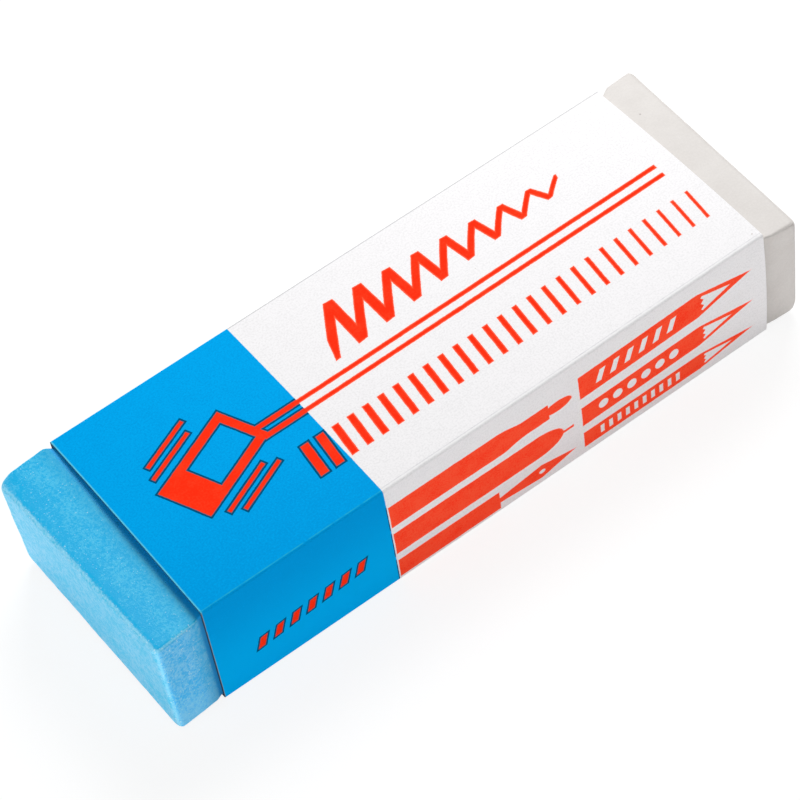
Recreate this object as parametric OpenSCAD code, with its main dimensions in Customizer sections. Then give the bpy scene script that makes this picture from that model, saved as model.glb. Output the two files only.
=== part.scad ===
// Two-compound vinyl eraser in a folded card sleeve.
// Frame: +X from the blue end to the grey end, +Y to the rear, +Z up.
// The origin is under the middle of the block, on the surface that the sleeve lies on.
// All lengths are in millimetres.

/* [Block] */
// Length over both free ends
block_l = 65; // [50:0.5:80]
// Width across the narrow sides
block_w = 21.2; // [16:0.1:28]
// Thickness of the bar
block_h = 11.6; // [8:0.1:16]
// Length of the blue compound, from its free end to the joint face
blue_l = 22.3; // [12:0.1:30]
// Radius worn on the long edges
long_edge_r = 0.3; // [0.1:0.05:1]
// Radius on the edges round the blue free end
blue_end_r = 0.85; // [0.3:0.05:2]
// Radius on the edges round the grey free end
grey_end_r = 0.6; // [0.3:0.05:2]
// How far the rear top corner of each free end leads its front bottom corner
end_skew = 0.4; // [0:0.05:1]

/* [Sleeve] */
// Length of the card strip's panels along the block
sleeve_l = 56.8; // [30:0.1:62]
// Length of the blue free end that stands out of the sleeve
blue_bare = 4.7; // [2:0.1:10]
// Length of the printed blue field, from the sleeve's mouth
blue_field_l = 17.6; // [5:0.1:28]
// Thickness of the card
card_t = 0.25; // [0.15:0.01:0.5]
// Inside radius of the four folds
fold_in_r = 0.15; // [0.05:0.05:0.4]
// How far the glued flap inside the rear side stops short of the top panel
flap_short = 3; // [1:0.5:5]
// How far the rear side's cut edge stops short of the bottom
lap_setback = 0.15; // [0:0.05:0.6]
// Outward bow of the top panel
top_bow = 0.2; // [0:0.05:0.6]
// Outward bow of the front side panel
front_bow = 0.1; // [0:0.05:0.4]

/* [Fit] */
// Clearance from the block to the front side, and to the flap at the rear
side_clear = 0.05; // [0.02:0.01:0.4]
// Clearance from the bottom panel up to the block
seat_clear = 0.05; // [0.02:0.01:0.2]
// Clearance from the block up to the top panel's edges
top_clear = 0.3; // [0.05:0.05:0.6]

/* [Hidden] */
// Straight pieces in a bowed panel, and in a quarter turn
bow_steps = 12;
arc_steps = 8;

// Sleeve, outside: its rear side is two layers of card, where the flap is glued inside it
sleeve_w = block_w + 2 * side_clear + 3 * card_t;
sleeve_h = card_t + seat_clear + block_h + top_clear + card_t;
sleeve_x = -block_l / 2 + blue_bare;
field_x = sleeve_x + blue_field_l;
// Centres of the folds: the rear bottom one is a layer of card further in
fold_r = fold_in_r + card_t;
fold_y = sleeve_w / 2 - fold_r;
flap_fold_y = fold_y - card_t;
low_fold_z = fold_r;
high_fold_z = sleeve_h - fold_r;
flap_top_z = sleeve_h - card_t - flap_short;

// The block lies on the bottom panel, between the front side and the flap
block_y = -card_t / 2;
block_z = card_t + seat_clear;
joint_x = -block_l / 2 + blue_l;

function unit(v) = v / norm(v);

function reversed(path) = [for (i = [len(path) - 1 : -1 : 0]) path[i]];

// Arc about a centre, from one angle to another
function arc(centre, r, from, to) =
    [for (i = [0 : arc_steps])
        let (a = from + (to - from) * i / arc_steps)
        centre + r * [cos(a), sin(a)]];

// One corner of an outline, rounded between its two neighbours
function round_corner(before, at, after, r) =
    let (
        u = unit(before - at),
        v = unit(after - at),
        half = acos(u * v) / 2,
        centre = at + unit(u + v) * r / sin(half),
        foot = at + u * r / tan(half),
        start = atan2(foot[1] - centre[1], foot[0] - centre[0]),
        turn = sign(v[0] * u[1] - v[1] * u[0])
    )
    arc(centre, r, start, start + turn * (180 - 2 * half));

// Straight line from one point to another, bowed to its right by a small rise
function bowed(from, to, rise) =
    let (right = unit([to[1] - from[1], from[0] - to[0]]))
    [for (i = [0 : bow_steps])
        let (s = i / bow_steps)
        from + s * (to - from) + 4 * s * (1 - s) * rise * right];

// Outline of the bar from its joint face to its free end, seen square on.
// low and high are its two long edges; the free end leads on the high edge.
module end_outline(joint, tip, low, high, skew, r) {
    lagging = tip - sign(tip - joint) * skew;
    a = [joint, low];
    b = [lagging, low];
    c = [tip, high];
    d = [joint, high];
    polygon(concat([a], round_corner(a, b, c, r), round_corner(b, c, d, r), [d]));
}

// The bar's own section, with its long edges rounded
module bar_section() {
    straight_w = block_w - 2 * long_edge_r;
    straight_h = block_h - 2 * long_edge_r;
    square([straight_w, block_h], center = true);
    square([block_w, straight_h], center = true);
    for (y = [-1, 1], z = [-1, 1])
        translate([y * straight_w / 2, z * straight_h / 2])
            circle(r = long_edge_r, $fn = 32);
}

// One compound of the block: the bar's section, rounded at the free end in plan and in side view
module compound(joint, tip, r) {
    spare = 1;
    intersection() {
        translate([min(joint, tip), block_y, block_z + block_h / 2])
            rotate([90, 0, 90])
                linear_extrude(abs(tip - joint))
                    bar_section();
        translate([0, 0, block_z - spare])
            linear_extrude(block_h + 2 * spare)
                end_outline(joint, tip, block_y - block_w / 2, block_y + block_w / 2, end_skew / 2, r);
        translate([0, block_w / 2 + spare, 0])
            rotate([90, 0, 0])
                linear_extrude(block_w + 2 * spare)
                    end_outline(joint, tip, block_z, block_z + block_h, end_skew / 2, r);
    }
}

module blue_end() {
    color("skyblue")
        compound(joint_x, -block_l / 2, blue_end_r);
}

module grey_end() {
    color("gainsboro")
        compound(joint_x, block_l / 2, grey_end_r);
}

// One face of the card, from the rear side's cut edge up, over the top, down the front and back
// under the block. r is the radius at the folds: fold_r outside, fold_in_r inside.
function wrap_face(r) = concat(
    [[fold_y + r, lap_setback]],
    arc([fold_y, high_fold_z], r, 0, 90),
    bowed([fold_y, high_fold_z + r], [-fold_y, high_fold_z + r], top_bow),
    arc([-fold_y, high_fold_z], r, 90, 180),
    bowed([-fold_y - r, high_fold_z], [-fold_y - r, low_fold_z], front_bow),
    arc([-fold_y, low_fold_z], r, 180, 270),
    [[flap_fold_y, low_fold_z - r]]);

// The same face of the glued flap, from the bottom panel up the inside of the rear side
function flap_face(r) = concat(
    arc([flap_fold_y, low_fold_z], r, 270, 360),
    [[flap_fold_y + r, flap_top_z]]);

// The folded strip, as seen from the grey end
module sleeve_section() {
    polygon(concat(wrap_face(fold_r), reversed(wrap_face(fold_in_r))));
    polygon(concat(flap_face(fold_r), reversed(flap_face(fold_in_r))));
}

module sleeve_length(from, to) {
    translate([from, 0, 0])
        rotate([90, 0, 90])
            linear_extrude(to - from)
                sleeve_section();
}

module sleeve() {
    color("deepskyblue") sleeve_length(sleeve_x, field_x);
    color("white") sleeve_length(field_x, sleeve_x + sleeve_l);
}

blue_end();
grey_end();
sleeve();
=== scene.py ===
# A two-compound vinyl eraser in a printed card sleeve: an abrasive blue end and a soft off-white
# end, joined face to face, with a folded strip of card round them that slides off either way.
# Frame: +X from the blue end to the off-white end, +Y to the rear, +Z up; metres, origin under the
# middle of the block. Lengths below are in millimetres until a mesh, a node or a place is written.

import math

import bpy
import numpy as np
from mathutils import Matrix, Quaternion, Vector, noise


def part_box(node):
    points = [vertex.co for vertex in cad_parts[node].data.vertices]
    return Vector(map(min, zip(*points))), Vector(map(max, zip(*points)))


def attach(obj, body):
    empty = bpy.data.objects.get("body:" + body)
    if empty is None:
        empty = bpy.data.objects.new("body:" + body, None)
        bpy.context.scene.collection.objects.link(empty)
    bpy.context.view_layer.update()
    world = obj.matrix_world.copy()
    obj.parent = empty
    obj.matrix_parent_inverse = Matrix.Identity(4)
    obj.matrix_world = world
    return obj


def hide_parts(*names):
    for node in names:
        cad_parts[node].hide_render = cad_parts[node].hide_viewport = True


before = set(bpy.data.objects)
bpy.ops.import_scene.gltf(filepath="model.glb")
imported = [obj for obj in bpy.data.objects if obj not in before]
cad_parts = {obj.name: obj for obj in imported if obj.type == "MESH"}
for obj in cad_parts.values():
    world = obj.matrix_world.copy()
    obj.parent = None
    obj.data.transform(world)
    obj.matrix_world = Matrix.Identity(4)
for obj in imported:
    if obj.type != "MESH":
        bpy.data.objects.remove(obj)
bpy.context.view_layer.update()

# View and light
# The camera stands above the front left, a little tilted. A soft lamp behind the object lights its
# top, one on the left its blue end, a wide one in front its narrow side, and a pale floor gives
# light back.

MM = 0.001

camera_place = Vector((-79.9, -146.8, 220.95)) * MM
camera_aim = Vector((-1.4, -0.2, 6.0)) * MM
camera_roll = math.radians(-10.5)
camera_lens = 147.07
camera_sensor = 36

camera = bpy.data.objects.new("camera", bpy.data.cameras.new("camera"))
camera.data.lens = camera_lens
camera.data.sensor_width = camera_sensor
camera.data.clip_start = 0.01
camera.location = camera_place
camera.rotation_mode = "QUATERNION"
camera.rotation_quaternion = (camera_aim - camera_place).to_track_quat("-Z", "Y") @ Quaternion(
    (0, 0, 1), camera_roll
)
bpy.context.scene.collection.objects.link(camera)
bpy.context.scene.camera = camera
bpy.context.scene.view_settings.view_transform = "Standard"


class Wire:
    """A socket in one material's nodes. A sum written on it adds Math nodes, and add() any other."""

    def __init__(self, tree, socket=None):
        self.tree = tree
        self.socket = socket

    def add(self, kind, settings, inputs, output=0):
        """Puts in a node: first its settings, then the values or wires of its sockets."""
        node = self.tree.nodes.new("ShaderNode" + kind)
        for name, value in settings.items():
            setattr(node, name, value)
        for name, value in inputs.items():
            if isinstance(value, Wire):
                self.tree.links.new(value.socket, node.inputs[name])
            else:
                node.inputs[name].default_value = value
        return Wire(self.tree, node.outputs[output])

    def maths(self, operation, *terms):
        return self.add("Math", {"operation": operation}, dict(enumerate(terms)))

    def __add__(self, other):
        return self.maths("ADD", self, other)

    __radd__ = __add__

    def __sub__(self, other):
        return self.maths("SUBTRACT", self, other)

    def __rsub__(self, other):
        return self.maths("SUBTRACT", other, self)

    def __mul__(self, other):
        return self.maths("MULTIPLY", self, other)

    __rmul__ = __mul__

    def __truediv__(self, other):
        return self.maths("DIVIDE", self, other)

    def __abs__(self):
        return self.maths("ABSOLUTE", self)

    def least(self, other):
        return self.maths("MINIMUM", self, other)

    def most(self, other):
        return self.maths("MAXIMUM", self, other)

    def root(self):
        return self.maths("SQRT", self)

    def part(self, axis):
        """The X, Y or Z of the vector that this wire holds."""
        return self.add("SeparateXYZ", {}, {0: self}, output=axis)

    def repeat(self, pitch):
        """The wire's distance past the middle of its cell, in cells of that pitch."""
        return self.maths("WRAP", self, pitch / 2, -pitch / 2)

    def swing(self, pitch):
        """-1 to 1 and back again over each pitch, in straight lines."""
        return self.maths("PINGPONG", self, pitch / 2) * (4 / pitch) - 1

    def rise(self, low, high):
        """0 below low and 1 above high, with a soft step between; the other way if low is above."""
        return self.add(
            "MapRange",
            {"interpolation_type": "SMOOTHSTEP"},
            {"Value": self, "From Min": low, "From Max": high},
        )

    def blend(self, first, second):
        """A colour from first to second, as this wire goes from 0 to 1."""
        return self.add(
            "Mix", {"data_type": "RGBA"}, {0: self, 6: first, 7: second}, output=2
        )

    def cloud(self, size, detail=2.0, roughness=0.5):
        """Soft noise from 0 to 1 over the place that this wire holds, in lumps of about that size."""
        return self.add(
            "TexNoise",
            {},
            {"Vector": self, "Scale": 1 / size, "Detail": detail, "Roughness": roughness},
        )

    def grains(self, size):
        """Distance to the nearest of many scattered points, in units of their usual spacing."""
        return self.add("TexVoronoi", {}, {"Vector": self, "Scale": 1 / size})


def start_material(name):
    """A material with no nodes but its output, and a bare wire to write its nodes from."""
    material = bpy.data.materials.new(name)
    material.use_nodes = True
    material.node_tree.nodes.clear()
    return material, Wire(material.node_tree)


def close_material(material, shader):
    """Joins the finished shader to the material's output."""
    output = material.node_tree.nodes.new("ShaderNodeOutputMaterial")
    material.node_tree.links.new(shader.socket, output.inputs["Surface"])
    return material


def make_piece(name, points, faces, materials):
    """A mesh object at the origin, from points in millimetres, with smooth faces."""
    mesh = bpy.data.meshes.new(name)
    mesh.from_pydata((np.asarray(points) * MM).tolist(), [], faces)
    mesh.validate()
    mesh.shade_smooth()
    for material in materials:
        mesh.materials.append(material)
    piece = bpy.data.objects.new(name, mesh)
    bpy.context.scene.collection.objects.link(piece)
    return piece


floor_half = 1500
floor_drop = 0.02
floor_bounce = 0.92
floor_seen = 0.17
floor_glow = 0.87

floor_material, wire = start_material("pale_floor")
bounce = wire.add("BsdfDiffuse", {}, {"Color": (floor_bounce,) * 3 + (1,)})
seen = wire.add("BsdfDiffuse", {}, {"Color": (floor_seen,) * 3 + (1,)})
glow = wire.add("Emission", {}, {"Strength": floor_glow})
white_floor = wire.add("AddShader", {}, {0: seen, 1: glow})
camera_ray = wire.add("LightPath", {}, {}, output="Is Camera Ray")
close_material(
    floor_material, wire.add("MixShader", {}, {0: camera_ray, 1: bounce, 2: white_floor})
)
floor_corners = [
    (-floor_half, -floor_half, -floor_drop),
    (floor_half, -floor_half, -floor_drop),
    (floor_half, floor_half, -floor_drop),
    (-floor_half, floor_half, -floor_drop),
]
floor = make_piece("floor", floor_corners, [(0, 1, 2, 3)], [floor_material])

sky_strength = 0.29
world = bpy.data.worlds.new("soft_sky")
world.use_nodes = True
world.node_tree.nodes.clear()
wire = Wire(world.node_tree)
camera_ray = wire.add("LightPath", {}, {}, output="Is Camera Ray")
sky = wire.add(
    "Background", {}, {"Strength": camera_ray * (1 - sky_strength) + sky_strength}
)
close_world = world.node_tree.nodes.new("ShaderNodeOutputWorld")
world.node_tree.links.new(sky.socket, close_world.inputs["Surface"])
bpy.context.scene.world = world


def hang_lamp(name, place, width, height, power):
    """A soft lamp that faces the object; place and sizes in millimetres, power in watts."""
    lamp = bpy.data.objects.new(name, bpy.data.lights.new(name, "AREA"))
    lamp.data.shape = "RECTANGLE"
    lamp.data.size = width * MM
    lamp.data.size_y = height * MM
    lamp.data.energy = power
    lamp.location = Vector(place) * MM
    lamp.rotation_mode = "QUATERNION"
    lamp.rotation_quaternion = (-lamp.location).to_track_quat("-Z", "Y")
    bpy.context.scene.collection.objects.link(lamp)


hang_lamp("rear_lamp", (140, 150, 235), 160, 160, 0.93)
hang_lamp("left_lamp", (-600, -40, 80), 350, 150, 1.4)
hang_lamp("front_lamp", (-180, -430, 85), 500, 160, 0.75)

# Blue end
# The abrasive third of the block: blue vinyl filled with fine grit, moulded in a bar with the soft
# compound and cut square. Its free end is worn round, and swells a little where the card lets go.


def steps(start, end, step):
    """Places from start to end in equal steps, each about as long as the given one."""
    count = max(1, round(abs(end - start) / step))
    return np.linspace(start, end, count + 1)


def make_bar(name, node, mouth, tip_sign, end_r, long_r, worn_r, flat_step, form, lumps, material):
    """One compound of the block: the section runs from the joint face to the free end, where it
    draws in round the edges to a gridded end face. form gives the shift of each point from a plain
    bar, and lumps the height of the surface over that."""
    low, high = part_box(node)
    half_y = (high.y - low.y) / 2 / MM
    half_z = (high.z - low.z) / 2 / MM
    mid_y = (high.y + low.y) / 2 / MM
    mid_z = (high.z + low.z) / 2 / MM
    joint = (low.x if tip_sign > 0 else high.x) / MM
    tip = (high.x if tip_sign > 0 else low.x) / MM
    joint_r = 0.12
    joint_turn = 30
    tip_turn = 11
    inside_step = 2 * flat_step
    arc_count = 6

    # Rings: place along the bar, how far the section has drawn in, and the lean of the surface
    rings = []
    for angle in steps(90, 0, joint_turn):
        a = math.radians(angle)
        x = joint + tip_sign * joint_r * (1 - math.sin(a))
        rings.append((x, joint_r * (1 - math.cos(a)), -math.sin(a)))
    full = joint + tip_sign * joint_r
    shoulder = tip - tip_sign * end_r
    for x in list(steps(full, mouth, inside_step))[1:] + list(steps(mouth, shoulder, flat_step))[1:]:
        rings.append((x, 0.0, 0.0))
    for angle in steps(0, 90, tip_turn)[1:]:
        a = math.radians(angle)
        x = shoulder + tip_sign * end_r * math.sin(a)
        rings.append((x, end_r * (1 - math.cos(a)), math.sin(a)))

    # One turn of the section: shares of the flats, and the direction of the edge radius
    share_y = steps(-1, 1, flat_step / half_y)
    share_z = steps(-1, 1, flat_step / half_z)
    turn = []
    for corner in range(4):
        y_sign = (1, -1, -1, 1)[corner]
        z_sign = (1, 1, -1, -1)[corner]
        for k in range(arc_count + 1):
            a = math.radians(90 * corner + 90 * k / arc_count)
            turn.append((y_sign, z_sign, math.cos(a), math.sin(a)))
        along = share_y if corner % 2 == 0 else share_z
        walk = along[::-1] if corner in (0, 1) else along
        for share in walk[1:-1]:
            flat = (share, z_sign) if corner % 2 == 0 else (y_sign, share)
            across = math.radians(90 * (corner + 1))
            turn.append((*flat, math.cos(across), math.sin(across)))
    turn = np.array(turn)
    per_ring = len(turn)

    points, normals, edges = [], [], []

    def put(x, share, direction, inset, lean, edge):
        """One ring's points, or a grid's, with the surface's direction and how near an edge it is."""
        worn = np.clip((x - mouth) / (tip - mouth), 0, 1)
        radius = long_r + (worn_r - long_r) * worn
        y = mid_y + share[:, 0] * (half_y - inset - radius) + radius * direction[:, 0]
        z = mid_z + share[:, 1] * (half_z - inset - radius) + radius * direction[:, 1]
        side = math.sqrt(max(0.0, 1 - lean * lean))
        facing = np.stack(
            [np.full(len(y), tip_sign * lean), side * direction[:, 0], side * direction[:, 1]], 1
        )
        points.append(np.stack([np.full(len(y), x), y, z], 1))
        normals.append(facing)
        edges.append(edge)

    on_long_edge = 2 * np.abs(turn[:, 2] * turn[:, 3])
    for x, inset, lean in rings:
        on_end_edge = 2 * abs(lean) * math.sqrt(max(0.0, 1 - lean * lean))
        put(x, turn[:, :2], turn[:, 2:], inset, lean, np.maximum(on_long_edge, on_end_edge))

    faces = []
    for i in range(len(rings) - 1):
        for k in range(per_ring):
            a = i * per_ring + k
            b = i * per_ring + (k + 1) % per_ring
            quad = (a, b, b + per_ring, a + per_ring)
            faces.append(quad if tip_sign > 0 else quad[::-1])

    # The two end faces: a grid inside the flats, joined to the last ring by a border and four fans
    ny, nz = len(share_y), len(share_z)
    corner_starts = [0]
    for corner in range(3):
        flat_count = (ny if corner % 2 == 0 else nz) - 2
        corner_starts.append(corner_starts[-1] + arc_count + 1 + flat_count)
    for ring_index, lean in ((0, -1.0), (len(rings) - 1, 1.0)):
        x, inset, _ = rings[ring_index]
        base = sum(len(p) for p in points)
        grid = np.array([(sy, sz) for sy in share_y for sz in share_z])
        put(x, grid, np.zeros((len(grid), 2)), inset, lean, np.zeros(len(grid)))
        ring_base = ring_index * per_ring
        outward = (lean > 0) == (tip_sign > 0)

        def cell(i, k):
            return base + i * nz + k

        patch = []
        for i in range(ny - 1):
            for k in range(nz - 1):
                patch.append((cell(i, k), cell(i + 1, k), cell(i + 1, k + 1), cell(i, k + 1)))
        rims = (
            [cell(i, nz - 1) for i in range(ny - 1, -1, -1)],
            [cell(0, k) for k in range(nz - 1, -1, -1)],
            [cell(i, 0) for i in range(ny)],
            [cell(ny - 1, k) for k in range(nz)],
        )
        for corner in range(4):
            start = corner_starts[corner]
            for k in range(arc_count):
                patch.append((rims[corner][0], ring_base + start + k, ring_base + start + k + 1))
            flat_start = start + arc_count
            for k in range(len(rims[corner]) - 1):
                a = ring_base + flat_start + k
                b = ring_base + (flat_start + k + 1) % per_ring
                patch.append((rims[corner][k], a, b, rims[corner][k + 1]))
        for face in patch:
            faces.append(face if outward else face[::-1])

    points = np.concatenate(points)
    normals = np.concatenate(normals)
    edges = np.concatenate(edges)
    share = np.stack(
        [(points[:, 1] - mid_y) / half_y, (points[:, 2] - mid_z) / half_z], 1
    )
    points = points + form(points, share, mouth, tip)
    heights = np.array([lumps(Vector(p), edge) for p, edge in zip(points, edges)])
    points = points + normals * heights[:, None]

    piece = make_piece(name, points, faces, [material])
    wear = piece.data.attributes.new("edge_wear", "FLOAT", "POINT")
    wear.data.foreach_set("value", edges.astype(np.float32))
    return piece


sleeve_low, sleeve_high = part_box("sleeve")
blue_mouth = sleeve_low.x / MM
grey_mouth = sleeve_high.x / MM

# How far inside each mouth the block begins to rise or sag toward the height of its free end
settle_depth = 3.5
settle_end = 0.2


def soft_step(value, start, end):
    """0 below start and 1 above end, with a soft step between."""
    t = np.clip((value - start) / (end - start), 0, 1)
    return t * t * (3 - 2 * t)


def spread(share, rear_top, rear_low, front_top, front_low):
    """A shift of each point of the section, from the shifts of the section's four corners."""
    rear = np.clip((1 + share[:, :1]) / 2, 0, 1)
    high = np.clip((1 + share[:, 1:]) / 2, 0, 1)
    at_rear = rear * (high * np.array(rear_top) + (1 - high) * np.array(rear_low))
    at_front = (1 - rear) * (high * np.array(front_top) + (1 - high) * np.array(front_low))
    return at_rear + at_front


def blue_form(points, share, mouth, tip):
    """How the free end departs from a plain bar: it swells out of the card, and its cut leans."""
    out = mouth - points[:, :1]
    sag = spread(share, (0, 0, 0.26), (0, 0, 0), (0, 0, -0.26), (0, 0, 0))
    swell = soft_step(out, -0.1, 0.8)
    further = soft_step(out, 0.0, mouth - tip + 0.6)
    at_mouth = spread(share, (0, 0.56, 0.3), (0, 0.32, 0), (0, -0.2, -0.26), (0, -0.25, 0))
    at_tip = spread(
        share, (-0.72, 0.55, 0.02), (-0.25, 0.7, 0.3), (0, -0.6, -0.15), (0.08, -0.62, -0.1)
    )
    rear_top = soft_step(share[:, :1] + share[:, 1:], 1.7, 2.0)
    worn_off = rear_top * soft_step(out, 3.4, 4.7) * np.array((0, -0.25, -0.35))
    settled = soft_step(out, -settle_depth, settle_end) * sag + swell * (at_mouth - sag)
    return settled + further * (at_tip - at_mouth) + worn_off


def blue_lumps(place, edge):
    """Height of the worn, gritty surface over the plain one, in millimetres."""
    broad = noise.noise(place / 3.1) * 0.035
    rubbed = noise.noise(place / 0.9 + Vector((7, 1, 3))) * (0.01 + 0.025 * edge)
    return broad + rubbed + noise.noise(place / 0.5) * 0.005


blue_body = (0.06, 0.56, 0.88, 1)
blue_deep = (0.0, 0.45, 0.83, 1)
blue_cut = (0.28, 0.68, 0.94, 1)
blue_cut_deep = (0.05, 0.58, 0.88, 1)
# Painted light: paler copies of the body blues for the front side
blue_side_painted_light = (0.22, 0.66, 1.0, 1)
blue_side_painted_light_deep = (0.04, 0.50, 0.95, 1)
blue_worn = (0.28, 0.75, 1.0, 1)
# Painted shade beside the card, and the unworn band under it with its painted shadow
blue_painted_shade_by_card = (0.0, 0.33, 0.60, 1)
blue_unworn_and_shadow = (0.0, 0.42, 0.96, 1)
blue_side_unworn_and_shadow = (0.02, 0.32, 0.72, 1)
blue_glint = (0.75, 0.88, 0.97, 1)
# Painted light: the colour of that weak glow
blue_painted_glow = (0.02, 0.065, 0.09, 1)
no_glow = (0.0, 0.0, 0.0, 1)

blue_material, wire = start_material("blue_vinyl")
place = wire.add("TexCoord", {}, {}, output="Object")
mottle = place.cloud(2.5 * MM, 2.0, 0.5)
crowd = place.cloud(0.7 * MM, 2.0, 0.6)
fine = place.cloud(0.24 * MM, 2.0, 0.7)
grit = place.cloud(0.12 * MM, 1.0, 0.5)
wear = wire.add("Attribute", {"attribute_name": "edge_wear"}, {}, output="Fac")
facing = wire.add("NewGeometry", {}, {}, output="Normal")
facing_up = facing.part("Z")
facing_end = 0 - facing.part("X")
facing_front = 0 - facing.part("Y")
outside = blue_mouth - place.part("X") / MM
height_up = place.part("Z") / MM

# The top mixes two blues by the filler's grain, and the cut end two paler, greyer ones. The front
# side gets paler blues that are painted light, lighter still towards the bottom as painted light from
# below
speckle = fine * 0.6 + crowd * 0.25 + mottle * 0.15
rubbed = outside.rise(2.6, 4.2) * facing_up.rise(0.4, 0.9)
tint = (speckle - rubbed * 0.09).rise(0.4, 0.6).blend(blue_deep, blue_body)
cut_face = speckle.rise(0.4, 0.58).blend(blue_cut_deep, blue_cut)
tint = facing_end.rise(0.1, 1.0).blend(tint, cut_face)
# Painted light from below: the front side is lighter towards the bottom
painted_light_low = height_up.rise(5.5, 0.5) * 0.1
painted_lit_side_face = (speckle + painted_light_low).rise(0.38, 0.62).blend(blue_side_painted_light_deep, blue_side_painted_light)
on_side = facing_front.rise(0.7, 0.98)
tint = on_side.blend(tint, painted_lit_side_face)
worn = wear.rise(0.75, 1.0) * (speckle + facing_front * 0.1).rise(0.3, 0.58)
tint = (worn * 0.75).blend(tint, blue_worn)
glint = (grit + crowd * 0.2 + wear * 0.05 + facing_front * 0.06).rise(0.83, 0.9)
tint = (glint * 0.8).blend(tint, blue_glint)

# At the mouth: a wide painted shade on the vinyl beside the card, and a deeper band that is unworn
# vinyl under the card and painted shadow just outside its edge
band_end = outside.rise(-1.4, -0.6)
painted_shade_by_card = outside.rise(2.2, 0.5) * band_end
tint = (painted_shade_by_card * 0.4).blend(tint, blue_painted_shade_by_card)
# Painted shadow just outside the card's edge, running on into unworn vinyl under the card
unworn_band_and_shadow = outside.rise(0.55, 0.2) * band_end
tint = unworn_band_and_shadow.blend(tint, on_side.blend(blue_unworn_and_shadow, blue_side_unworn_and_shadow))

# Painted light: a weak glow on worn edges and on the lower front side stands for light passing
# through the vinyl and for light from below
painted_glow = (worn * 0.3).most(on_side * height_up.rise(9.0, 1.0) * (1 - painted_shade_by_card))
height = fine * 0.7 + grit * 0.35 + crowd * 0.3
bump = wire.add("Bump", {}, {"Strength": 0.4, "Distance": 0.06 * MM, "Height": height})
shader = wire.add(
    "BsdfPrincipled",
    {},
    {
        "Base Color": tint,
        "Roughness": 0.4 + fine * 0.2,
        "Specular IOR Level": 0.25,
        "Emission Color": painted_glow.blend(no_glow, blue_painted_glow),
        "Emission Strength": 1.0,
        "Normal": bump,
    },
)
close_material(blue_material, shader)

blue_end = make_bar(
    "abrasive_blue_end",
    "blue_end",
    blue_mouth,
    -1,
    end_r=0.55,
    long_r=0.25,
    worn_r=0.45,
    flat_step=0.25,
    form=blue_form,
    lumps=blue_lumps,
    material=blue_material,
)
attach(blue_end, "block")
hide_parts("blue_end")

# Grey end
# The soft two thirds of the block: off-white vinyl with a fine filler, smooth as it left the
# mould, joined to the blue compound when both were still warm. Its long edges are still crisp.


def grey_form(points, share, mouth, tip):
    """The free end swells out of the card a little, its cut leans, and its lower edge is worn."""
    out = points[:, :1] - mouth
    sag = spread(share, (0, 0, 0.2), (0, 0, 0), (0, 0, -0.1), (0, 0, 0))
    swell = soft_step(out, 0.0, 1.2)
    further = soft_step(out, 0.2, tip - mouth + 0.4)
    at_mouth = spread(share, (0, 0.57, 0.2), (0, 0.3, 0), (0, -0.22, -0.1), (0, -0.12, 0))
    at_tip = spread(share, (0.45, 0.82, 0.15), (0.1, 0.4, 0), (0, -0.5, -0.08), (0, -0.3, -0.05))
    bare = tip - mouth
    low_edge = soft_step(-share[:, 1:], 0.8, 1.0) * soft_step(out, bare - 0.9, bare)
    worn_off = low_edge * np.array((-0.28, 0, 0.26))
    settled = soft_step(out, -settle_depth, settle_end) * sag + swell * (at_mouth - sag)
    return settled + further * (at_tip - at_mouth) + worn_off


def grey_lumps(place, edge):
    """Height of the smooth moulded surface over the plain one, in millimetres."""
    return noise.noise(place / 4.3) * 0.02 + noise.noise(place / 1.1) * (0.003 + 0.006 * edge)


grey_body = (0.695, 0.663, 0.637, 1)
grey_deep = (0.635, 0.602, 0.575, 1)
grey_pit = (0.42, 0.39, 0.37, 1)

grey_material, wire = start_material("off_white_vinyl")
place = wire.add("TexCoord", {}, {}, output="Object")
mottle = place.cloud(2.2 * MM, 3.0, 0.6)
fine = place.cloud(0.22 * MM, 2.0, 0.6)
spots = place.grains(2.6 * MM)
tint = (mottle * 0.5 + fine * 0.5).rise(0.3, 0.7).blend(grey_deep, grey_body)
pits = spots.rise(0.045, 0.02)
tint = (pits * 0.7).blend(tint, grey_pit)
height = fine * 0.5 + mottle * 0.5 - pits * 2
bump = wire.add("Bump", {}, {"Strength": 0.35, "Distance": 0.05 * MM, "Height": height})
shader = wire.add(
    "BsdfPrincipled",
    {},
    {
        "Base Color": tint,
        "Roughness": 0.45 + fine * 0.12,
        "Specular IOR Level": 0.4,
        "Normal": bump,
    },
)
close_material(grey_material, shader)

grey_end = make_bar(
    "soft_grey_end",
    "grey_end",
    grey_mouth,
    1,
    end_r=0.45,
    long_r=0.15,
    worn_r=0.4,
    flat_step=0.35,
    form=grey_form,
    lumps=grey_lumps,
    material=grey_material,
)
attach(grey_end, "block")
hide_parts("grey_end")

# Sleeve
# One strip of thin coated card, printed flat in blue and red, cut, creased at four folds round the
# block and closed by a flap glued up inside its rear side. Both mouths are plain cut edges.

card_t = 0.25
fold_r = 0.27
lap_setback = 0.15
flap_short = 3.0
cad_top_bow = 0.2
blue_field_l = 17.6

half_w = sleeve_high.y / MM
card_top = sleeve_high.z / MM - cad_top_bow
fold_y = half_w - fold_r
flap_fold_y = fold_y - card_t
flap_top = card_top - card_t - flap_short
field_x = blue_mouth + blue_field_l


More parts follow.
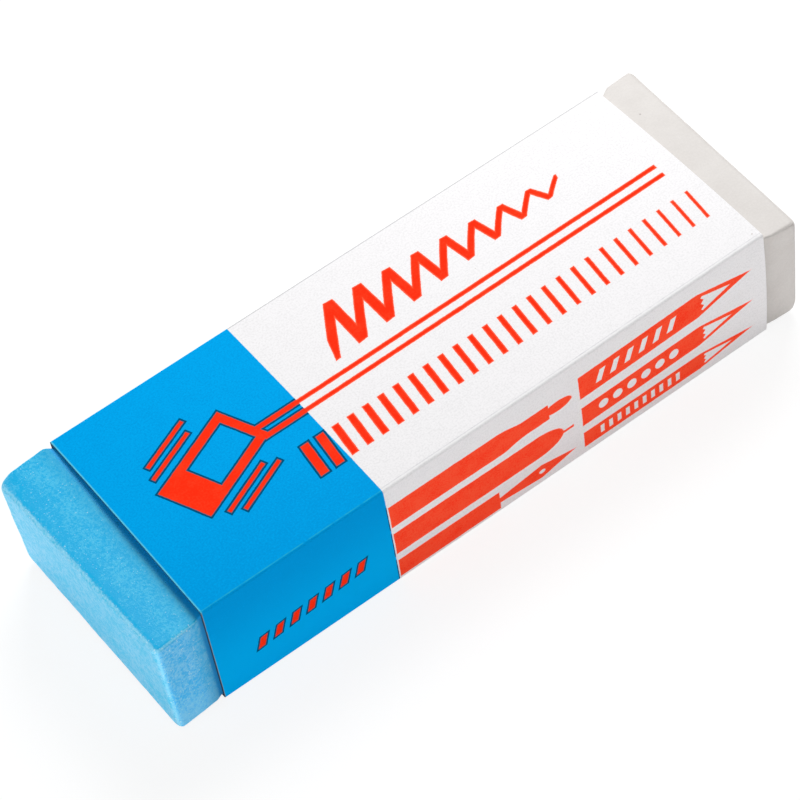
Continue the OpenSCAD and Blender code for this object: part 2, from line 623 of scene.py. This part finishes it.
def walk_blank():
    """The printed face of the folded strip, seen end on: for each point how far along the flat
    blank it lies, its place, the way the face looks, and its share of its panel's bow."""
    rows = []
    done = 0.0

    def panel(start, end, looks, bow, step=0.9):
        nonlocal done
        length = math.dist(start, end)
        for t in steps(0, 1, step / length):
            spot = [s + t * (e - s) for s, e in zip(start, end)]
            rows.append((done + t * length, *spot, *looks, bow, 4 * t * (1 - t)))
        done += length

    def fold(centre_y, centre_z, start):
        nonlocal done
        arc = fold_r * math.radians(90)
        for t in steps(0, 1, 1 / 8)[1:-1]:
            a = math.radians(start + 90 * t)
            spot = (centre_y + fold_r * math.cos(a), centre_z + fold_r * math.sin(a))
            rows.append((done + t * arc, *spot, math.cos(a), math.sin(a), "none", 0.0))
        done += arc

    panel((half_w, lap_setback), (half_w, card_top - fold_r), (1, 0), "rear")
    fold(fold_y, card_top - fold_r, 0)
    panel((fold_y, card_top), (-fold_y, card_top), (0, 1), "top")
    fold(-fold_y, card_top - fold_r, 90)
    panel((-half_w, card_top - fold_r), (-half_w, fold_r), (-1, 0), "front")
    fold(-fold_y, fold_r, 180)
    panel((-fold_y, 0), (flap_fold_y, 0), (0, -1), "bottom")
    fold(flap_fold_y, fold_r, 270)
    panel((half_w - card_t, fold_r), (half_w - card_t, flap_top), (1, 0), "flap")
    return rows


blank = walk_blank()
blank_v = np.array([row[0] for row in blank])
blank_y = np.array([row[1] for row in blank])
blank_z = np.array([row[2] for row in blank])
looks_y = np.array([row[3] for row in blank])
looks_z = np.array([row[4] for row in blank])
is_top = np.array([row[5] == "top" for row in blank])
is_front = np.array([row[5] == "front" for row in blank])
bulge = np.array([row[6] for row in blank])

lip = 1.2
stations = np.concatenate(
    [
        steps(blue_mouth, blue_mouth + lip, 0.3)[:-1],
        steps(blue_mouth + lip, grey_mouth - lip, 0.9),
        steps(grey_mouth - lip, grey_mouth, 0.3)[1:],
    ]
)


top_bow = (0.15, 0.27)
front_bow = (0.02, 0.19)
fold_lift = 0.28


def card_bow(x):
    """Outward bow of each point of the strip at one station: it grows towards the grey end."""
    along = (x - blue_mouth) / (grey_mouth - blue_mouth)
    top = is_top * (top_bow[0] + np.ptp(top_bow) * along)
    front = is_front * (front_bow[0] + np.ptp(front_bow) * along)
    ripple = 0.012 * math.sin(x / 5.3) + 0.008 * math.sin(x / 2.1 + 1)
    return bulge * (top + front + (is_top | is_front) * ripple)


def card_lift(x):
    """How far the top front fold stands up towards the grey end, shared out over the strip."""
    toward_front = (half_w - blank_y) / (2 * half_w)
    return fold_lift * soft_step(x, 0.0, grey_mouth) * toward_front * blank_z / card_top


card_points = []
for depth in (0.0, card_t):
    for x in stations:
        out = card_bow(x) - depth
        card_y = blank_y + looks_y * out
        card_z = blank_z + looks_z * out + card_lift(x)
        card_points.append(np.stack([np.full(len(blank_v), x), card_y, card_z], 1))
card_points = np.concatenate(card_points)
row_n = len(blank_v)
row_count = len(stations)
inside_base = row_n * row_count


def card_vertex(inside, i, k):
    return inside * inside_base + i * row_n + k


printed_faces, raw_faces = [], []
for i in range(row_count - 1):
    for k in range(row_n - 1):
        ring = ((i, k), (i, k + 1), (i + 1, k + 1), (i + 1, k))
        printed_faces.append(tuple(card_vertex(0, a, b) for a, b in ring))
        raw_faces.append(tuple(card_vertex(1, a, b) for a, b in reversed(ring)))
for i, flip in ((0, False), (row_count - 1, True)):
    for k in range(row_n - 1):
        rim = (
            card_vertex(0, i, k + 1),
            card_vertex(0, i, k),
            card_vertex(1, i, k),
            card_vertex(1, i, k + 1),
        )
        raw_faces.append(rim[::-1] if flip else rim)
for k, flip in ((0, True), (row_n - 1, False)):
    for i in range(row_count - 1):
        rim = (
            card_vertex(0, i, k),
            card_vertex(0, i + 1, k),
            card_vertex(1, i + 1, k),
            card_vertex(1, i, k),
        )
        raw_faces.append(rim[::-1] if flip else rim)

# Print: every shape is a distance in millimetres on the flat blank, below 0 inside the shape
print_material, wire = start_material("printed_card")
flat = wire.add("UVMap", {"uv_map": "blank"}, {})
along = flat.part("X")
across = flat.part("Y")

top_start = blank_v[is_top].min()
front_start = blank_v[is_front].min()
front_end = blank_v[is_front].max()
front_mid = (front_start + front_end) / 2
top_mid = (blank_v[is_top].min() + blank_v[is_top].max()) / 2
top_y = top_mid - across
front_z = (card_top - fold_r + front_start) - across
mirrored_y = abs(across - front_mid) - (front_mid - top_mid)


def bar(x, y, left, right, middle, half):
    """A bar along x from left to right, its half width either side of the middle."""
    return (abs(x - (left + right) / 2) - (right - left) / 2).most(abs(y - middle) - half)


def oval(x, y, centre, half_x, half_y):
    """An ellipse with its axes along x and y."""
    across_x = (x - centre[0]) / half_x
    across_y = (y - centre[1]) / half_y
    return ((across_x * across_x + across_y * across_y).root() - 1) * min(half_x, half_y)


def strokes(x, y, left, right, middle, tall, pitch, half, lean):
    """A row of equal strokes, one in each pitch, as tall as given and leaning with x as y grows."""
    upright = x - (y - middle) * lean
    ends = abs(upright - (left + right) / 2) - (right - left) / 2 + pitch / 5
    stroke = abs((upright - left - pitch / 2).repeat(pitch)) - half
    return stroke.most(ends).most(abs(y - middle) - tall / 2)


# Top and underside: two long thin stripes
stripe_mid = 0.1
stripe_gap = 0.575
stripe_half = 0.235
stripe_start = -14.3
stripe_end = 27.1
twin = abs(mirrored_y - stripe_mid)
shapes = bar(along, twin, stripe_start, stripe_end, stripe_gap, stripe_half)

# Top, rear half: a scribble that dies away as if rubbed out
scribble_mid = 4.9
scribble_pitch = 2.9
scribble_start = -4.5
scribble_length = 8.5 * scribble_pitch
scribble_size = 2.75 - (along - scribble_start) * (2.0 / scribble_length)
scribble_half = 0.16 + scribble_size * 0.13
from_mid = top_y - scribble_mid
leaning = along - scribble_start - from_mid * 0.3
on_line = leaning.most(0.0).least(scribble_length)
slope = (scribble_size * scribble_size + (scribble_pitch / 4) ** 2).root()
off_line = abs(from_mid - on_line.swing(scribble_pitch) * scribble_size)
scribble = off_line * (scribble_pitch / 4) / slope - scribble_half
scribble = scribble.most(abs(from_mid) - scribble_size - 0.12)
scribble = scribble.most(abs(leaning - scribble_length / 2) - scribble_length / 2)
shapes = shapes.least(scribble)

# Top, front half: strokes that go from bold to fine
shade_ends = (-13.25, 27.79)
shade_half = 0.38 - (along - shade_ends[0]) * (0.22 / 41.0)
shade = strokes(along, top_y, *shade_ends, -4.9, 3.4, 1.52, shade_half, 0.1)
shapes = shapes.least(shade)

# Blue field, top: the outline of a two-part block at a slant, with pairs of short strokes beside it
badge_centre = (-18.9, 0.1)
badge_turn = math.radians(24)
from_x = along - badge_centre[0]
from_y = top_y - badge_centre[1]
badge_x = from_x * math.cos(badge_turn) + from_y * math.sin(badge_turn)
badge_y = from_y * math.cos(badge_turn) - from_x * math.sin(badge_turn)
box = bar(badge_x, badge_y, -4.5, 4.5, 0.0, 2.5)
badge = (abs(box + 0.38) - 0.38).least(box.most(badge_x + 1.6))
badge = badge.least(bar(badge_x, abs(badge_y), -3.5, 1.7, 3.6, 0.17))
badge = badge.least(bar(badge_x, abs(badge_y), -2.7, 2.5, 4.65, 0.17))
shapes = shapes.least(badge)

# Blue field, front: a short row of slanted strokes
tag_mid = 4.6 + (along + 18.45) * 0.1
shapes = shapes.least(
    strokes(along, front_z - tag_mid, -24.2, -12.65, 0.0, 1.2, 1.65, 0.32, 0.35)
)

# Front, nearer the blue field: a mechanical pencil, a ballpoint and a dip pen, in plain outline
pen_start = field_x + 0.13
near_tip = along.rise(3.6, 0.9)
barrel = (abs(front_z - 8.71) - 0.92 - near_tip * 0.46).most(pen_start - along).most(along - 6.04)
shapes = shapes.least(barrel).least(oval(along, front_z, (6.95, 8.72), 1.45, 0.62))
nose = oval((along - 4.4).most(0.0), front_z, (0.0, 5.06), 2.85, 1.4).most(pen_start - along)
shapes = shapes.least(nose).least(bar(along, front_z, 7.0, 8.3, 4.94, 0.15))
shapes = shapes.least(bar(along, front_z, pen_start, 0.3, 1.59, 1.15))
nib_axis = front_z - 1.55 - along * 0.025
nib_half = (along * 0.126 + 0.28).least((8.3 - along) * 0.24)
nib = (abs(nib_axis) - nib_half).most(0.2 - along)
nib = nib.most(0 - oval(along, front_z, (4.73, 1.63), 0.32, 0.24))
shapes = shapes.least(nib)

# Front, farther: three sharpened pencils, each with its own marks left white on the barrel
pencil_butt = 9.2
pencil_cone = 21.7
pencil_tip = 27.45
mark_ends = (10.7, 19.7)
mark_pitch = 1.5
wood_start = 22.1
wood_tip = 25.2
wood_taper = 0.21
pencils = (
    (8.98, 1.4, 0.022, "slanted"),
    (5.18, 1.2, 0.02, "dots"),
    (1.98, 1.0, 0.003, "upright"),
)
for middle, half, climb, mark in pencils:
    from_axis = front_z - middle - (along - pencil_butt) * climb
    off_axis = abs(from_axis)
    cone_half = (pencil_tip - along) * (half / (pencil_tip - pencil_cone))
    pencil = (off_axis - cone_half.least(half)).most(pencil_butt - along)
    scallop = abs(from_axis.repeat(half * 0.5)) * 0.9
    wood = (off_axis - (wood_tip - along) * (half * wood_taper)).most(wood_start + scallop - along)
    if mark == "slanted":
        left_white = strokes(along, from_axis, *mark_ends, 0.0, 1.35, mark_pitch, 0.3, 0.4)
    elif mark == "dots":
        in_cell = (along - mark_ends[0] - mark_pitch / 2).repeat(mark_pitch)
        left_white = oval(in_cell, from_axis, (0.0, 0.0), 0.5, 0.5)
        left_white = left_white.most(abs(along - sum(mark_ends) / 2) - np.ptp(mark_ends) / 2)
    else:
        left_white = strokes(along, from_axis, *mark_ends, 0.0, 1.0, 0.9, 0.2, 0.0)
    shapes = shapes.least(pencil.most(0 - wood).most(0 - left_white))

# Colours of the print, and what the ink does at its edges
card_white = (0.945, 0.933, 0.945, 1)
card_dull = (0.86, 0.85, 0.86, 1)
card_shade = (0.6, 0.6, 0.62, 1)
# Painted shade for the rear fold
card_painted_fold_shade = (0.58, 0.58, 0.59, 1)
card_crease = (0.97, 0.97, 0.97, 1)
card_speck = (0.45, 0.40, 0.35, 1)
ink_blue = (0.0, 0.41, 0.90, 1)
ink_blue_deep = (0.0, 0.335, 0.78, 1)
# Painted light: a paler blue for the bottom of the front side
ink_blue_painted_light = (0.0, 0.49, 1.0, 1)
ink_blue_crease = (0.02, 0.46, 0.74, 1)
ink_burr = (0.10, 0.57, 0.80, 1)
card_burr = (0.30, 0.28, 0.26, 1)
ink_red = (0.99, 0.042, 0.012, 1)
ink_red_deep = (0.96, 0.026, 0.006, 1)
ink_red_pale = (1.0, 0.13, 0.06, 1)
ink_red_glow = (0.12, 0.004, 0.0, 1)
ink_halo = (0.96, 0.72, 0.66, 1)
ink_trap = (0.0, 0.085, 0.20, 1)
ink_rim = (0.24, 0.12, 0.13, 1)

ragged = flat.cloud(0.22, 2.0, 0.6)
waver = flat.cloud(0.9, 1.0, 0.5)
blotch = flat.cloud(1.6, 3.0, 0.6)
grain = flat.cloud(0.17, 1.0, 0.5)
edge = shapes + (ragged - 0.5) * 0.07 + (waver - 0.5) * 0.05
on_blue = (along + (ragged - 0.5) * 0.05).rise(field_x + 0.03, field_x - 0.03)
on_front = across.rise(front_start - 0.3, front_start)

density = grain * 0.8 + blotch * 0.2
# Painted shade: the blue darkens from the middle of the top to the front fold and on the front side;
# painted light makes it paler again towards the bottom of the front side
painted_front_shade = across.rise(top_mid, front_start) * 0.14 + on_front * 0.14
blue = (density - painted_front_shade).rise(0.2, 0.7).blend(ink_blue_deep, ink_blue)
blue = across.rise(front_start, front_end).blend(blue, ink_blue_painted_light)
white = density.rise(0.3, 0.62).blend(card_dull, card_white)
ground = on_blue.blend(white, blue)
burr_reach = blue_mouth + 0.14 - on_front * 0.06
burr = (burr_reach - along).rise(0.0, 0.06) * waver.rise(0.15, 0.45)
ground = burr.blend(ground, on_front.blend(ink_burr, card_burr))
specks = flat.grains(3.4)
speck = specks.rise(0.028, 0.016) * flat.cloud(5.0).rise(0.5, 0.56)
ground = (speck * 0.6).blend(ground, card_speck)

# Folds: the coating is cracked along the crest, with a faint painted shadow line beside it, and
# painted shade on the rear fold
half_fold = fold_r * math.pi / 4
near_crest = front_start - 1.6 * half_fold
crest = abs(across - (top_start - half_fold)).least(abs(across - near_crest))
crest = crest.least(abs(across - (front_end + half_fold)))
cracked = crest.rise(0.06, 0.03) * flat.cloud(1.3, 3.0, 0.7).rise(0.25, 0.6)
crease = on_blue.blend(card_crease, ink_blue_crease)
# Painted shadow: a faint grey line beside the front fold's crest
painted_crease_shadow = abs(across - (near_crest - 0.16)).rise(0.07, 0.03) * waver * (1 - on_blue)
ground = (painted_crease_shadow * 0.8).blend(ground, card_shade)
ground = cracked.blend(ground, crease)
# Painted shade: a thin grey line on the rear fold, where it turns away from the top
painted_rear_fold_shade = abs(across - (top_start - 0.17)).rise(0.16, 0.1) * (1 - on_blue)
ground = painted_rear_fold_shade.blend(ground, card_painted_fold_shade)

halo = edge.rise(0.1, 0.0) * (1 - on_blue) * 0.5
ground = halo.blend(ground, ink_halo)
trap = edge.rise(0.25, 0.19) * on_blue
ground = trap.blend(ground, ink_trap)
rim = edge.rise(0.07, 0.03) * on_blue
ground = rim.blend(ground, ink_rim)
red = edge.rise(0.02, -0.02)
core = (blotch * 0.6 + grain * 0.4).rise(0.42, 0.66).blend(ink_red_deep, ink_red)
thin = (blotch * 0.5 + grain * 0.5 + 0.1).rise(0.3, 0.7) * on_front * 0.6
pale_line = (edge.rise(-0.13, -0.08) * 0.7).most(thin) * (1 - on_blue)
tint = red.blend(ground, pale_line.blend(core, ink_red_pale))
fibre = flat.cloud(0.3, 3.0, 0.6)
bump = wire.add("Bump", {}, {"Strength": 0.2, "Distance": 0.02 * MM, "Height": fibre})
shader = wire.add(
    "BsdfPrincipled",
    {},
    {
        "Base Color": tint,
        "Roughness": 0.5,
        "Specular IOR Level": 0.005,
        "Emission Color": red.blend(no_glow, ink_red_glow),
        "Emission Strength": 1.0,
        "Normal": bump,
    },
)
close_material(print_material, shader)

# Bare card: the inside, and the cut edges, which are painted dark blue at the blue mouth: painted
# shade that carries on the shadow under the card's edge
raw_deep = (0.74, 0.72, 0.68, 1)
raw_pale = (0.84, 0.83, 0.80, 1)
# Painted shade: dark blues for the cut edges at the blue mouth
painted_shade_rim_low = (0.03, 0.06, 0.10, 1)
painted_shade_rim_top = (0.02, 0.10, 0.18, 1)

raw_material, wire = start_material("raw_card")
place = wire.add("TexCoord", {}, {}, output="Object")
fibre = place.cloud(0.3 * MM, 4.0, 0.7)
# Painted shade on the cut edges at the blue mouth, darkest at the top
at_blue_mouth = (place.part("X") / MM).rise(blue_mouth + 0.03, blue_mouth + 0.01)
painted_rim_shade = (place.part("Z") / MM).rise(card_top - 0.3, card_top).blend(painted_shade_rim_low, painted_shade_rim_top)
tint = at_blue_mouth.blend(fibre.blend(raw_deep, raw_pale), painted_rim_shade)
bump = wire.add("Bump", {}, {"Strength": 0.3, "Distance": 0.03 * MM, "Height": fibre})
shader = wire.add(
    "BsdfPrincipled",
    {},
    {"Base Color": tint, "Roughness": 0.8, "Specular IOR Level": 0.2, "Normal": bump},
)
close_material(raw_material, shader)

sleeve = make_piece(
    "printed_sleeve", card_points, printed_faces + raw_faces, [print_material, raw_material]
)
card_mesh = sleeve.data
for polygon in card_mesh.polygons[len(printed_faces) :]:
    polygon.material_index = 1
card_mesh.set_sharp_from_angle(angle=math.radians(50))
flat_map = card_mesh.uv_layers.new(name="blank")
for loop in card_mesh.loops:
    spot = loop.vertex_index % inside_base
    flat_map.data[loop.index].uv = (stations[spot // row_n], blank_v[spot % row_n])
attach(sleeve, "sleeve")
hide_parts("sleeve")
